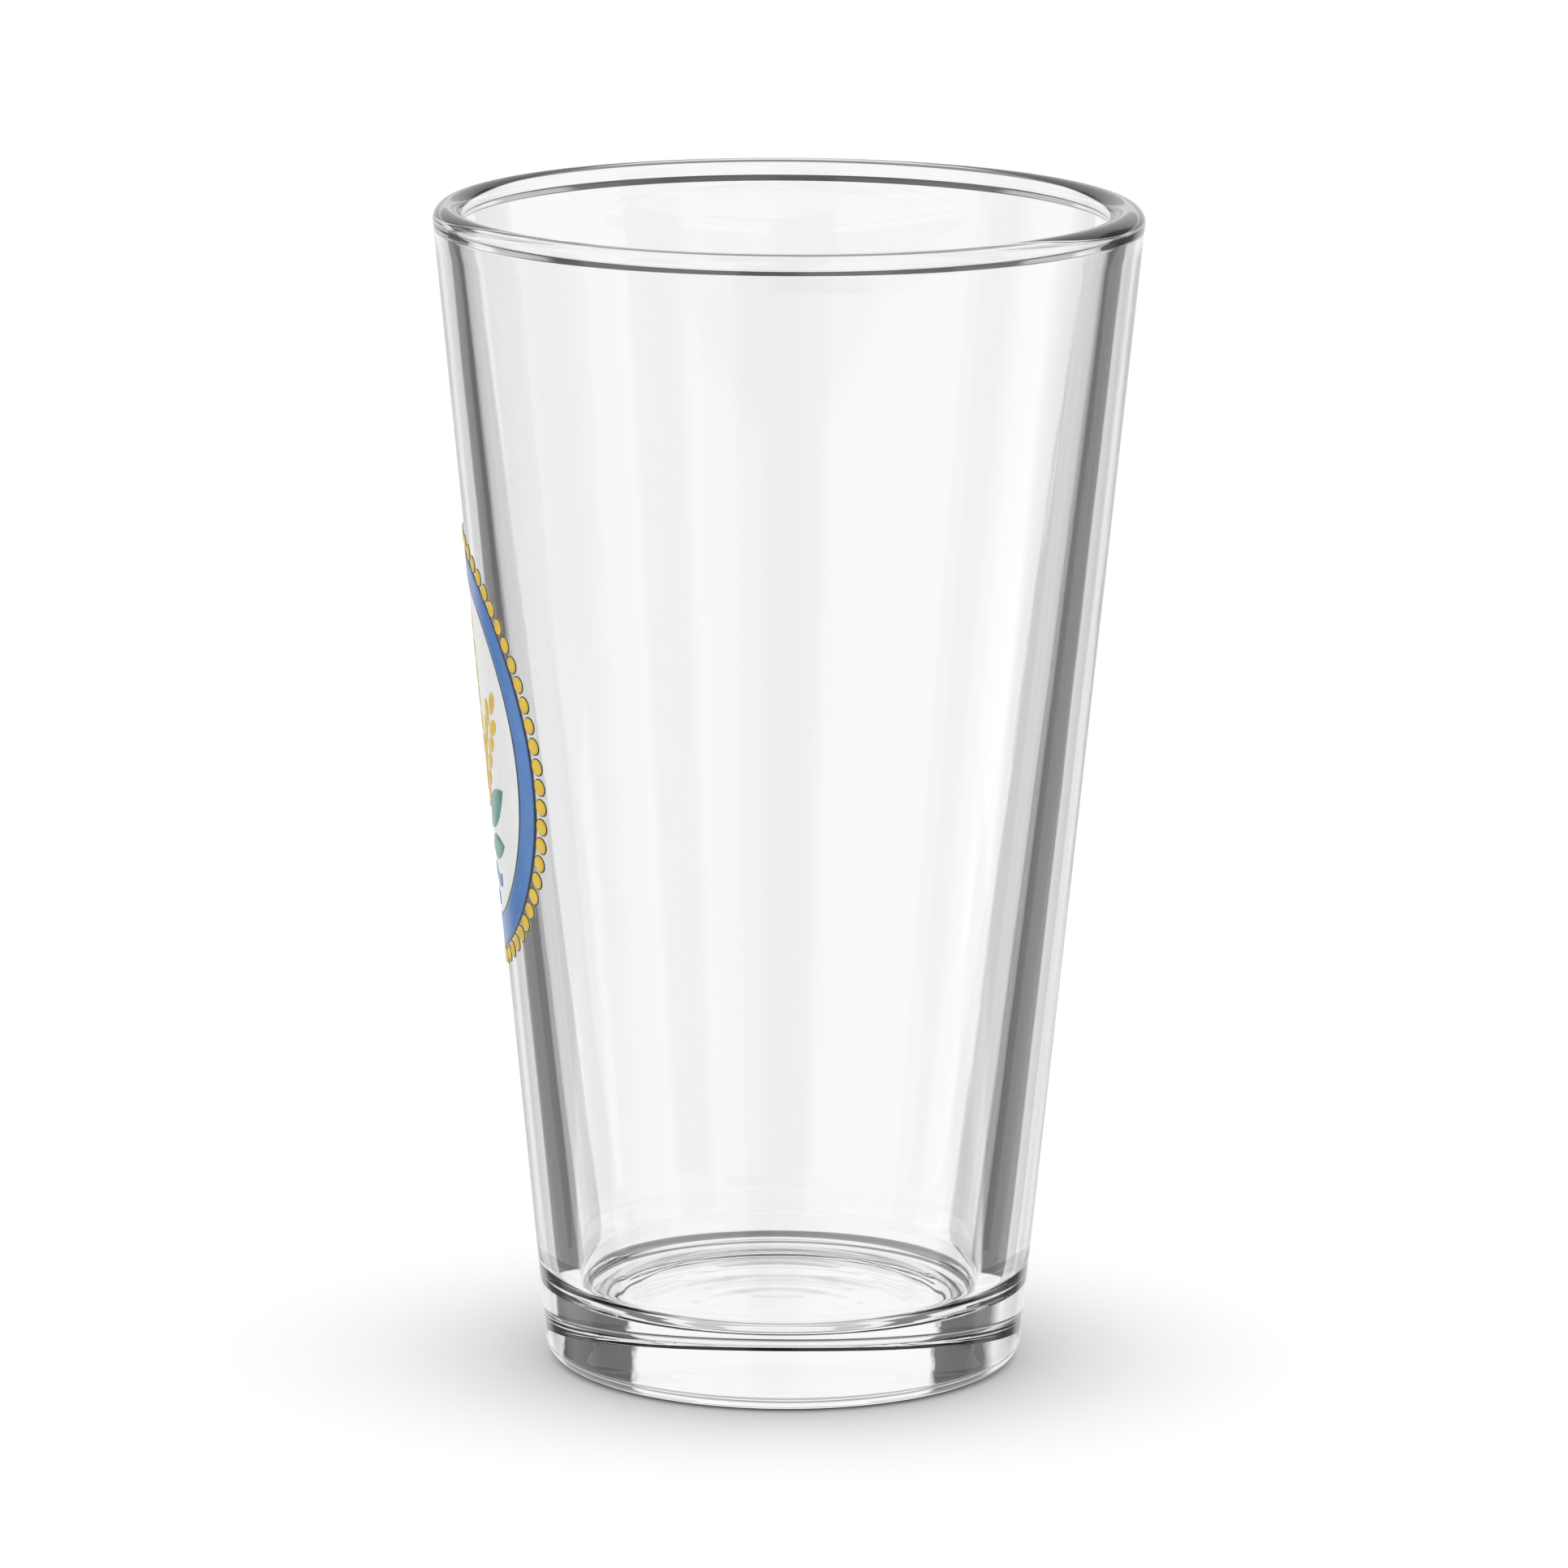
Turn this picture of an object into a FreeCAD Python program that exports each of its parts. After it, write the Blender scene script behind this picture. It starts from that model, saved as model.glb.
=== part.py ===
"""Pint glass with a printed oval badge.

Frame: millimetres, +Z up along the axis of the glass, origin at the centre of the resting
plane, and the middle of the badge faces -Y.
"""

import FreeCAD, Part
import Sketcher
import math
import os

from FreeCAD import Vector

# Driving dimensions: name, value (mm unless the name says otherwise), what it sizes.
SIZES = [
    ("height", 147.2, "resting plane to the top of the rim"),
    ("top_radius", 44.5, "outer cone, carried up to the rim's height"),
    ("base_radius", 29.9, "outer cone, carried down to the resting plane"),
    ("inner_top_radius", 41.0, "inner cone, carried up to the rim's height"),
    ("inner_low_radius", 25.3, "inner cone, carried down to the inside floor"),
    ("floor_height", 9.0, "inside floor above the resting plane"),
    ("corner_radius", 3.0, "inside corner between wall and floor"),
    ("heel_radius", 2.8, "outside corner between wall and resting plane"),
    ("bearing_inner_radius", 23.5, "inner edge of the ring that the glass stands on"),
    ("pushup_radius", 21.5, "flat of the recess under the base"),
    ("pushup_depth", 1.2, "depth of that recess"),
    ("dimple_radius", 11.1, "shallow round mark in the middle of the recess"),
    ("dimple_depth", 0.35, "depth of that mark"),
    ("badge_height", 78.9, "middle of the badge above the resting plane"),
    ("badge_half_height", 28.0, "badge, edging included"),
    ("badge_half_width", 25.0, "the same, measured round the wall"),
    ("edging_width", 2.3, "zone of the gold beads"),
    ("band_width", 3.5, "blue band, inside the edging"),
    ("line_width", 0.3, "dark lines on both sides of the band"),
    ("white_ink", 0.10, "thickness of the white underprint"),
    ("colour_ink", 0.08, "thickness of each colour"),
    ("bead_radius", 1.0, "gold bead"),
    ("bead_count", 62, "beads round the badge"),
    ("grain_length", 3.6, "barley grain"),
    ("grain_width", 1.8, "barley grain"),
    ("grain_pitch", 3.05, "from one pair of grains to the next"),
    ("grain_offset", 1.38, "middle of a grain from the line of its ear"),
    ("grain_lean", 25.0, "grain against the line of its ear, degrees"),
    ("ear_pairs", 5, "pairs of grains in one ear"),
    ("ear_foot", -9.3, "point where the ears meet, from the middle of the badge"),
    ("ear_lean", 36.0, "lean of the outer ears, degrees"),
    ("stalk_long", 9.3, "foot to the first grains of the middle ear"),
    ("stalk_short", 5.2, "foot to the first grains of an outer ear"),
    ("stalk_width", 0.6, "stalk"),
    ("leaf_length", 11.8, "upper leaf, tip to tip"),
    ("leaf_half_width", 1.9, "leaf"),
    ("wave_length", 7.8, "one wave of the water"),
    ("wave_rise", 0.5, "crest above the middle of its line"),
    ("wave_width", 1.6, "width of a line of water"),
]

doc = FreeCAD.newDocument("pint_glass")
sheet = doc.addObject("Spreadsheet::Sheet", "sizes")
for row, (alias, value, meaning) in enumerate(SIZES, start=1):
    sheet.set("A%d" % row, str(value))
    sheet.setAlias("A%d" % row, alias)
    sheet.set("B%d" % row, meaning)
doc.recompute()

size = {alias: float(sheet.get(alias)) for alias, value, meaning in SIZES}


# ---------------------------------------------------------------- the glass

def origin_plane(body, role):
    """The body's own base plane with that role."""
    return [item for item in body.Origin.OriginFeatures if item.Role == role][0]


def attached_sketch(body, name, role="XZ_Plane"):
    sketch = body.newObject("Sketcher::SketchObject", name)
    sketch.AttachmentSupport = [(origin_plane(body, role), "")]
    sketch.MapMode = "FlatFace"
    return sketch


def dimension(sketch, kind, name, *arguments):
    """A named dimension whose value the sheet's cell of the same name drives."""
    sketch.addConstraint(Sketcher.Constraint(kind, *arguments, size[name]))
    sketch.renameConstraint(sketch.ConstraintCount - 1, name)
    sketch.setExpression("Constraints." + name, "sizes." + name)


def link(sketch, kind, *arguments):
    sketch.addConstraint(Sketcher.Constraint(kind, *arguments))


START, END, ORIGIN, AXIS = 1, 2, -1, -2


def glass_profile(sketch):
    """Half section of the wall, floor and rim, closed along the axis."""
    height, floor = size["height"], size["floor_height"]
    outer_low, outer_top = size["base_radius"], size["top_radius"]
    inner_low, inner_top = size["inner_low_radius"], size["inner_top_radius"]
    corner, heel = size["corner_radius"], size["heel_radius"]
    rim = (outer_top - inner_top) / 2

    def at(x, z):
        return Vector(x, z, 0)

    def arc(middle, radius, first, last):
        circle = Part.Circle(middle, Vector(0, 0, 1), radius)
        return Part.ArcOfCircle(circle, math.radians(first), math.radians(last))

    lean = math.degrees(math.atan2(outer_top - outer_low, height))
    (axis, ground, heel_arc, outside, rim_outer, rim_inner, inside, corner_arc,
     floor_line, cone_out, cone_in, level) = range(12)
    sketch.addGeometry([
        Part.LineSegment(at(0, floor), at(0, 0)),
        Part.LineSegment(at(0, 0), at(outer_low - heel, 0)),
        arc(at(outer_low - heel, heel), heel, 270, 360 - lean),
        Part.LineSegment(at(outer_low + 0.3, heel), at(outer_top - 0.2, height - rim)),
        arc(at(outer_top - rim - 0.2, height - rim), rim, -lean, 90),
        arc(at(outer_top - rim - 0.2, height - rim), rim, 90, 180 - lean),
        Part.LineSegment(at(inner_top - 0.2, height - rim), at(inner_low + 0.4, floor + corner)),
        arc(at(inner_low - corner, floor + corner), corner, 270, 360 - lean),
        Part.LineSegment(at(inner_low - corner, floor), at(0, floor)),
    ], False)
    sketch.addGeometry([
        Part.LineSegment(at(outer_low, 0), at(outer_top, height)),
        Part.LineSegment(at(inner_low, floor), at(inner_top, height)),
        Part.LineSegment(at(inner_top, height), at(outer_top, height)),
    ], True)

    link(sketch, "Coincident", axis, END, ORIGIN, START)
    link(sketch, "Vertical", axis)
    link(sketch, "Coincident", ground, START, ORIGIN, START)
    link(sketch, "Horizontal", ground)
    link(sketch, "Tangent", ground, END, heel_arc, START)
    link(sketch, "Tangent", heel_arc, END, outside, START)
    link(sketch, "Tangent", outside, END, rim_outer, START)
    link(sketch, "Tangent", rim_outer, END, rim_inner, START)
    link(sketch, "Equal", rim_outer, rim_inner)
    link(sketch, "Tangent", rim_inner, END, inside, START)
    link(sketch, "Tangent", inside, END, corner_arc, END)
    link(sketch, "Tangent", corner_arc, START, floor_line, START)
    link(sketch, "Coincident", floor_line, END, axis, START)
    link(sketch, "Horizontal", floor_line)
    link(sketch, "Horizontal", level)
    link(sketch, "Coincident", cone_in, END, level, START)
    link(sketch, "Coincident", cone_out, END, level, END)
    link(sketch, "Tangent", rim_outer, level)
    link(sketch, "PointOnObject", rim_outer, END, level)
    link(sketch, "PointOnObject", cone_out, START, ORIGIN)
    link(sketch, "PointOnObject", outside, START, cone_out)
    link(sketch, "PointOnObject", outside, END, cone_out)
    link(sketch, "PointOnObject", cone_in, START, floor_line)
    link(sketch, "PointOnObject", inside, START, cone_in)
    link(sketch, "PointOnObject", inside, END, cone_in)
    dimension(sketch, "DistanceY", "height", ORIGIN, START, cone_out, END)
    dimension(sketch, "DistanceX", "top_radius", ORIGIN, START, cone_out, END)
    dimension(sketch, "DistanceX", "base_radius", ORIGIN, START, cone_out, START)
    dimension(sketch, "DistanceX", "inner_top_radius", ORIGIN, START, cone_in, END)
    dimension(sketch, "DistanceX", "inner_low_radius", ORIGIN, START, cone_in, START)
    dimension(sketch, "DistanceY", "floor_height", ORIGIN, START, axis, START)
    dimension(sketch, "Radius", "corner_radius", corner_arc)
    dimension(sketch, "Radius", "heel_radius", heel_arc)


def pushup_profile(sketch):
    """Half section of the recess under the base: a shallow cone edge and a stepped flat."""
    depth, dimple = size["pushup_depth"], size["dimple_depth"]
    corners = [
        (0, 0),
        (size["bearing_inner_radius"], 0),
        (size["pushup_radius"], depth),
        (size["dimple_radius"], depth),
        (size["dimple_radius"], depth + dimple),
        (0, depth + dimple),
    ]
    ground, slope, flat, step, top, axis = range(6)
    for index, (x, z) in enumerate(corners):
        next_x, next_z = corners[(index + 1) % len(corners)]
        sketch.addGeometry(Part.LineSegment(Vector(x, z, 0), Vector(next_x, next_z, 0)), False)
    for index in range(6):
        link(sketch, "Coincident", index, END, (index + 1) % 6, START)
    link(sketch, "Coincident", ground, START, ORIGIN, START)
    for line in (ground, flat, top):
        link(sketch, "Horizontal", line)
    for line in (step, axis):
        link(sketch, "Vertical", line)
    dimension(sketch, "DistanceX", "bearing_inner_radius", ORIGIN, START, ground, END)
    dimension(sketch, "DistanceX", "pushup_radius", ORIGIN, START, slope, END)
    dimension(sketch, "DistanceY", "pushup_depth", ORIGIN, START, slope, END)
    dimension(sketch, "DistanceX", "dimple_radius", ORIGIN, START, flat, END)
    dimension(sketch, "DistanceY", "dimple_depth", step, START, step, END)


def make_glass():
    """The pressed glass: wall, solid foot and rim are one piece of glass."""
    body = doc.addObject("PartDesign::Body", "glass_body")
    section = attached_sketch(body, "half_section")
    glass_profile(section)
    wall = body.newObject("PartDesign::Revolution", "turned_wall")
    wall.Profile = section
    wall.ReferenceAxis = (section, ["V_Axis"])
    wall.Angle = 360
    section.Visibility = False
    doc.recompute()
    full = wall.Shape.Volume

    recess = attached_sketch(body, "recess_section")
    pushup_profile(recess)
    groove = body.newObject("PartDesign::Groove", "pushup_recess")
    groove.Profile = recess
    groove.ReferenceAxis = (recess, ["V_Axis"])
    groove.Angle = 360
    doc.recompute()
    if groove.Shape.Volume >= full:
        raise RuntimeError("the recess under the base cut nothing")
    return body


# ---------------------------------------------------------------- the printed badge

REACH = "sizes.top_radius * 1.2"
middle_radius = size["base_radius"] + (size["top_radius"] - size["base_radius"]) * (
    size["badge_height"] / size["height"])


def across(arc_length):
    """Straight width from the middle of the badge to a point that far round the wall."""
    return middle_radius * math.sin(arc_length / middle_radius)


def across_expression(arc_length):
    radius = ("(sizes.base_radius + (sizes.top_radius - sizes.base_radius)"
              " * sizes.badge_height / sizes.height)")
    return "%s * sin((%s) / %s * 180 / pi)" % (radius, arc_length, radius)


def ink_layer(name, start, thickness):
    """A coat of ink all round the wall's outer cone, from start to start + thickness."""
    cones = []
    for side, offset in (("inner", start), ("outer", "%s + %s" % (start, thickness))):
        cone = doc.addObject("Part::Cone", "%s_%s_cone" % (name, side))
        cone.setExpression("Radius1", "sizes.base_radius + " + offset)
        cone.setExpression("Radius2", "sizes.top_radius + " + offset)
        cone.setExpression("Height", "sizes.height")
        cones.append(cone)
    coat = doc.addObject("Part::Cut", name + "_coat")
    coat.Base, coat.Tool = cones[1], cones[0]
    return coat


def through_wall(name, outline):
    """The outline, drawn in the XZ plane, carried out through the front wall (-Y)."""
    prism = doc.addObject("Part::Extrusion", name)
    prism.Base = outline
    prism.DirMode = "Custom"
    prism.Dir = Vector(0, -1, 0)
    prism.Solid = True
    prism.setExpression("LengthFwd", REACH)
    return prism


def oval(name, inset):
    """Elliptical prism: the badge's outline, moved in by the inset."""
    outline = doc.addObject("Part::Ellipse", name + "_outline")
    outline.setExpression("MajorRadius", "sizes.badge_half_height - (%s)" % inset)
    outline.setExpression("MinorRadius", across_expression("sizes.badge_half_width - (%s)" % inset))
    turn = FreeCAD.Rotation(Vector(0, 0, 1), Vector(1, 0, 0), Vector(0, -1, 0), "ZXY")
    outline.Placement = FreeCAD.Placement(Vector(0, 0, size["badge_height"]), turn)
    outline.setExpression("Placement.Base.z", "sizes.badge_height")
    return through_wall(name, outline)


def common(name, first, second):
    piece = doc.addObject("Part::Common", name)
    piece.Base, piece.Tool = first, second
    return piece


def cut(name, base, tool):
    piece = doc.addObject("Part::Cut", name)
    piece.Base, piece.Tool = base, tool
    return piece


def badge_sketch(name):
    """A sketch in the XZ plane whose own origin is the middle of the badge."""
    sketch = doc.addObject("Sketcher::SketchObject", name)
    sketch.Placement = FreeCAD.Placement(
        Vector(0, 0, size["badge_height"]), FreeCAD.Rotation(Vector(1, 0, 0), 90))
    sketch.setExpression("Placement.Base.z", "sizes.badge_height")
    return sketch


def on_badge(arc_length, rise):
    return Vector(across(arc_length), rise, 0)


def add_ellipse(sketch, arc_length, rise, half_length, half_width, lean=0.0):
    """An ellipse whose long axis leans from upright by that many degrees, clockwise."""
    middle = on_badge(arc_length, rise)
    slope = math.radians(lean)
    along = Vector(math.sin(slope), math.cos(slope), 0)
    side = Vector(math.cos(slope), -math.sin(slope), 0)
    sketch.addGeometry(
        Part.Ellipse(middle + along * half_length, middle + side * half_width, middle), False)


def add_lens(sketch, arc_length, rise, length, half_width, lean):
    """A leaf: two arcs between two tips."""
    middle = on_badge(arc_length, rise)
    slope = math.radians(lean)
    along = Vector(math.sin(slope), math.cos(slope), 0) * (length / 2)
    side = Vector(math.cos(slope), -math.sin(slope), 0) * half_width
    for bulge in (side, -side):
        curve = Part.Arc(middle - along, middle + bulge, middle + along)
        sketch.addGeometry(curve, False)


def make_beads(coat):
    """Gold beads, evenly spaced along the middle of the edging."""
    sketch = badge_sketch("bead_outlines")
    half_height = size["badge_half_height"] - size["edging_width"] / 2
    half_width = size["badge_half_width"] - size["edging_width"] / 2
    steps = 7200
    path = []
    for step in range(steps + 1):
        turn = 2 * math.pi * step / steps
        path.append((half_width * math.sin(turn), half_height * math.cos(turn)))
    lengths = [0.0]
    for first, second in zip(path, path[1:]):
        lengths.append(lengths[-1] + math.dist(first, second))
    count = int(size["bead_count"])
    index = 0
    for bead in range(count):
        while lengths[index] < lengths[-1] * bead / count:
            index += 1
        arc_length, rise = path[index]
        narrowing = math.cos(arc_length / middle_radius)
        add_ellipse(sketch, arc_length, rise, size["bead_radius"],
                    size["bead_radius"] * narrowing * 0.9999)
    return common("print_gold_beads", coat, through_wall("bead_prisms", sketch))


def ears():
    """Lean in degrees and stalk length of each of the three ears."""
    lean = size["ear_lean"]
    return [(0.0, size["stalk_long"]), (lean, size["stalk_short"]), (-lean, size["stalk_short"])]


def beside_ear(lean, out, aside=0.0):
    """The point that far out along an ear from its foot, and that far to its right."""
    slope = math.radians(lean)
    return (math.sin(slope) * out + math.cos(slope) * aside,
            math.cos(slope) * out - math.sin(slope) * aside + size["ear_foot"])


def make_barley(coat):
    """Three ears of barley that fan out from one foot."""
    sketch = badge_sketch("grain_outlines")
    half_length, half_width = size["grain_length"] / 2, size["grain_width"] / 2
    for lean, stalk in ears():
        for pair in range(int(size["ear_pairs"])):
            for way in (-1, 1):
                place = beside_ear(lean, stalk + pair * size["grain_pitch"],
                                   way * size["grain_offset"])
                add_ellipse(sketch, *place, half_length, half_width,
                            lean + way * size["grain_lean"])
        tip = beside_ear(lean, stalk + size["ear_pairs"] * size["grain_pitch"])
        add_ellipse(sketch, *tip, half_length, half_width, lean)
    return common("print_barley", coat, through_wall("grain_prisms", sketch))


def make_leaves(coat):
    """The stalks, and two leaves on each side of them."""
    sketch = badge_sketch("leaf_outlines")
    half_width = size["leaf_half_width"]
    for way in (-1, 1):
        add_lens(sketch, way * 7.8, -6.9, size["leaf_length"], half_width, way * 58)
        add_lens(sketch, way * 6.45, -12.0, size["leaf_length"] * 0.8, half_width * 0.85, way * 80)
    for lean, stalk in ears():
        first = 2.4 * size["stalk_width"]
        length = stalk - size["grain_length"] / 2 - first
        add_lens(sketch, *beside_ear(lean, first + length / 2), length,
                 size["stalk_width"] / 2, lean)
    return common("print_leaves", coat, through_wall("leaf_prisms", sketch))


def add_wave(sketch, rise, crests):
    """A line of water: arcs along the top and the same arcs along the bottom."""
    length, lift, width = size["wave_length"], size["wave_rise"], size["wave_width"]
    left = -length * crests / 2
    for level in (rise, rise - width):
        for half in range(2 * crests):
            first = left + half * length / 2
            crest = level + (lift if half % 2 == 0 else -lift)
            sketch.addGeometry(Part.Arc(
                on_badge(first, level),
                on_badge(first + length / 4, crest),
                on_badge(first + length / 2, level)), False)
    for end in (left, -left):
        sketch.addGeometry(
            Part.LineSegment(on_badge(end, rise), on_badge(end, rise - width)), False)


def make_water(coat):
    """Two wavy blue lines below the leaves."""
    sketch = badge_sketch("water_outlines")
    add_wave(sketch, -15.2, 2)
    add_wave(sketch, -18.3, 1)
    return common("print_water", coat, through_wall("water_prisms", sketch))


def make_badge():
    """Inks in the order they are laid: white, then the colours on it, and gold at the edge."""
    inset_line = "sizes.edging_width"
    inset_band = inset_line + " + sizes.line_width"
    inset_middle = inset_band + " + sizes.band_width / 2"
    inset_inner_line = inset_band + " + sizes.band_width"
    inset_field = inset_inner_line + " + sizes.line_width"
    white_coat = ink_layer("white", "0", "sizes.white_ink")
    colour_coat = ink_layer("colour", "sizes.white_ink", "sizes.colour_ink")
    gold_coat = ink_layer("gold", "0", "sizes.white_ink")

    white = common("print_white_base", white_coat, oval("white_oval", inset_line))
    band_halves = []
    for side, outer, inner in (("outer", inset_band, inset_middle),
                               ("inner", inset_middle, inset_inner_line)):
        ring = cut(side + "_band_ring", oval(side + "_band_oval", outer),
                   oval(side + "_band_hole", inner))
        band_halves.append(common(side + "_band_half", colour_coat, ring))
    band = doc.addObject("Part::MultiFuse", "print_blue_band")
    band.Shapes = band_halves
    band.Refine = False
    outer_line = cut("outer_line_ring", oval("line_oval", inset_line),
                     oval("line_hole", inset_band))
    inner_line = cut("inner_line_ring", oval("inner_line_oval", inset_inner_line),
                     oval("inner_line_hole", inset_field))
    rings = doc.addObject("Part::Compound", "line_rings")
    rings.Links = [outer_line, inner_line]
    lines = common("print_dark_lines", colour_coat, rings)
    return [white, band, lines, make_beads(gold_coat), make_barley(colour_coat),
            make_leaves(colour_coat), make_water(colour_coat)]


# ---------------------------------------------------------------- check and write

def main():
    pieces = [make_glass()] + make_badge()
    doc.recompute()
    for item in doc.Objects:
        if "Invalid" in item.State or "Error" in item.State:
            raise RuntimeError("%s failed: %s" % (item.Name, item.State))
    os.makedirs("parts", exist_ok=True)
    for piece in pieces:
        piece.Label = piece.Name
        piece.Placement = FreeCAD.Placement()
        shape = piece.Shape
        if shape.isNull() or not shape.isValid() or not shape.Solids:
            raise RuntimeError("%s has no valid solid" % piece.Label)
        shape.exportStep(os.path.join("parts", piece.Label + ".step"))
        print(piece.Label, len(shape.Solids), "solids", round(shape.Volume, 2), "mm3")


main()
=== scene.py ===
"""Looks of the pint glass, in metres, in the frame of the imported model.

The glass is a turned mesh with the slight unevenness of pressed glass. The badge is a stack of thin
coats of ink that follow the cone of the wall; its middle faces -Y. The studio round them is a white
world with dark gaps, a paper floor and a body that only casts the soft shadow.
"""

import math

import bmesh
import bpy
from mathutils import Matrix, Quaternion, Vector, noise


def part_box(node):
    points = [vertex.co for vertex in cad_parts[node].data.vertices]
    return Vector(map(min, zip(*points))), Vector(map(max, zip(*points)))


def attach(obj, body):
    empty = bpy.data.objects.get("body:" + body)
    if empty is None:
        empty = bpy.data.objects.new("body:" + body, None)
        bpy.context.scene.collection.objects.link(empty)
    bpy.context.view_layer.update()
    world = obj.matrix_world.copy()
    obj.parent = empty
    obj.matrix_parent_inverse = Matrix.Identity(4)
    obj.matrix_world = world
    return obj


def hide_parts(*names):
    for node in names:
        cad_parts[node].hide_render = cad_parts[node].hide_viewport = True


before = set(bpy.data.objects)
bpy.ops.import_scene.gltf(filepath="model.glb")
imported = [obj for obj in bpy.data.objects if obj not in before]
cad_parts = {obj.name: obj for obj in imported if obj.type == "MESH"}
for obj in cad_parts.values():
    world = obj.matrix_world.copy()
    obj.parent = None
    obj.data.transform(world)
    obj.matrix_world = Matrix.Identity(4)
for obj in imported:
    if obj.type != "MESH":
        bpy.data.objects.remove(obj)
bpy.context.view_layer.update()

MM = 0.001

# ---------------------------------------------------------------- sizes

glass_low, glass_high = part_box("glass_body")
white_low, white_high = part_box("print_white_base")

HEIGHT = glass_high.z
ROUNDED_OFF = 0.18 * MM                    # the round of the rim keeps this far inside the cone
TOP_RADIUS = glass_high.x + ROUNDED_OFF    # outer cone, carried up to the height of the rim
BASE_RADIUS = 29.9 * MM                    # outer cone, carried down to the resting plane
WALL_TOP = 3.5 * MM                        # between the outer and inner cones at the rim
INNER_LOW_RADIUS = 25.3 * MM               # inner cone at the inside floor
FLOOR_HEIGHT = 9.0 * MM
CORNER_RADIUS = 3.8 * MM                   # inside, between wall and floor
HEEL_RADIUS = 2.8 * MM                     # outside, at the resting plane
BEARING_INNER_RADIUS = 23.5 * MM
PUSHUP_RADIUS = 21.5 * MM                  # recess under the foot
PUSHUP_DEPTH = 1.2 * MM
DIMPLE_RADIUS = 11.1 * MM
DIMPLE_DEPTH = 0.08 * MM                   # a soft, shallow mark in the middle of the recess
PUSHUP_SLOPE = (PUSHUP_RADIUS - 0.8 * MM, BEARING_INNER_RADIUS + 0.2 * MM)
DIMPLE_SLOPE = (DIMPLE_RADIUS - 6.0 * MM, DIMPLE_RADIUS + 3.0 * MM)
UNDERSIDE_RADIUS = BEARING_INNER_RADIUS + 0.7 * MM    # the recess's rows of mesh end here
BEAD_BULGE = 0.50 * MM                     # the fire-polished rim stands in from the wall
BEAD_STEP = 1.45 * MM                      # height over which the wall steps in to it
RIM_SQUASH = 0.87                          # the round of the rim is flatter than a half circle
TAPER = (TOP_RADIUS - BASE_RADIUS) / HEIGHT
INNER_TOP_RADIUS = TOP_RADIUS - WALL_TOP
INNER_TAPER = (INNER_TOP_RADIUS - INNER_LOW_RADIUS) / (HEIGHT - FLOOR_HEIGHT)

BADGE_HEIGHT = (white_low.z + white_high.z) / 2
BADGE_HALF_HEIGHT = 28.0 * MM
BADGE_HALF_WIDTH = 25.0 * MM               # round the wall
EDGING = 2.3 * MM
BAND = 3.5 * MM
LINE = 0.3 * MM
BADGE_RADIUS = BASE_RADIUS + TAPER * BADGE_HEIGHT     # of the wall, at the middle of the badge

# ---------------------------------------------------------------- mesh helpers


def new_piece(name, bm, material, slot, *nodes):
    """Links a mesh as a piece that stands for those CAD nodes."""
    bmesh.ops.recalc_face_normals(bm, faces=bm.faces)
    mesh = bpy.data.meshes.new(name)
    bm.to_mesh(mesh)
    bm.free()
    for face in mesh.polygons:
        face.use_smooth = True
    piece = bpy.data.objects.new(name, mesh)
    bpy.context.scene.collection.objects.link(piece)
    mesh.materials.append(material)
    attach(piece, "root")
    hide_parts(*nodes)
    return piece


def arc_points(middle_x, middle_z, radius, first, last, steps):
    """Points on an arc, angles in degrees from +X towards +Z."""
    points = []
    for step in range(steps + 1):
        angle = math.radians(first + (last - first) * step / steps)
        points.append((middle_x + radius * math.cos(angle), middle_z + radius * math.sin(angle)))
    return points


def line_points(first, last, steps):
    """Points from first towards last, without last."""
    return [(first[0] + (last[0] - first[0]) * step / steps,
             first[1] + (last[1] - first[1]) * step / steps) for step in range(steps)]


def eased(value, span):
    """0 before the span, 1 after it, with a smooth step between."""
    share = min(max((value - span[0]) / (span[1] - span[0]), 0.0), 1.0)
    return share * share * (3 - 2 * share)


def even_step(share):
    """0 to 1 with a straight middle and short rounded ends."""
    end = 0.2
    top = 1 / (1 - end)
    if share < end:
        return top * share * share / (2 * end)
    if share > 1 - end:
        return 1 - top * (1 - share) ** 2 / (2 * end)
    return top * (share - end / 2)


def turned_faces(bm, rows, segments):
    """Faces between the rings of a turned body. A ring of one vertex closes an end."""
    for low, high in zip(rows, rows[1:]):
        for segment in range(segments):
            beside = (segment + 1) % segments
            if len(low) == 1:
                bm.faces.new((low[0], high[beside], high[segment]))
            elif len(high) == 1:
                bm.faces.new((low[segment], low[beside], high[0]))
            else:
                bm.faces.new((low[segment], low[beside], high[beside], high[segment]))


# ---------------------------------------------------------------- the glass

FLOOR_RINGS = [  # radius, height and half width of the faint rings on the inside floor
    (20.6 * MM, 0.055 * MM, 0.7 * MM),
    (17.2 * MM, -0.050 * MM, 0.9 * MM),
    (12.4 * MM, 0.050 * MM, 1.2 * MM),
    (6.5 * MM, -0.035 * MM, 1.6 * MM),
]


def floor_rise(radius):
    """How far the inside floor stands above its mean height there."""
    rise = 0.0
    for ring, height, half_width in FLOOR_RINGS:
        rise += height * math.exp(-((radius - ring) / half_width) ** 2)
    return rise


# Rows of mesh along each stretch of the glass's half section
RECESS_ROWS = 80
BEARING_ROWS = 4
HEEL_ROWS = 12
OUTSIDE_ROWS = 62
RIM_ROWS = 26
BEAD_ROWS = 16
INSIDE_ROWS = 58
CORNER_ROWS = 14
FLOOR_ROWS = 44


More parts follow.
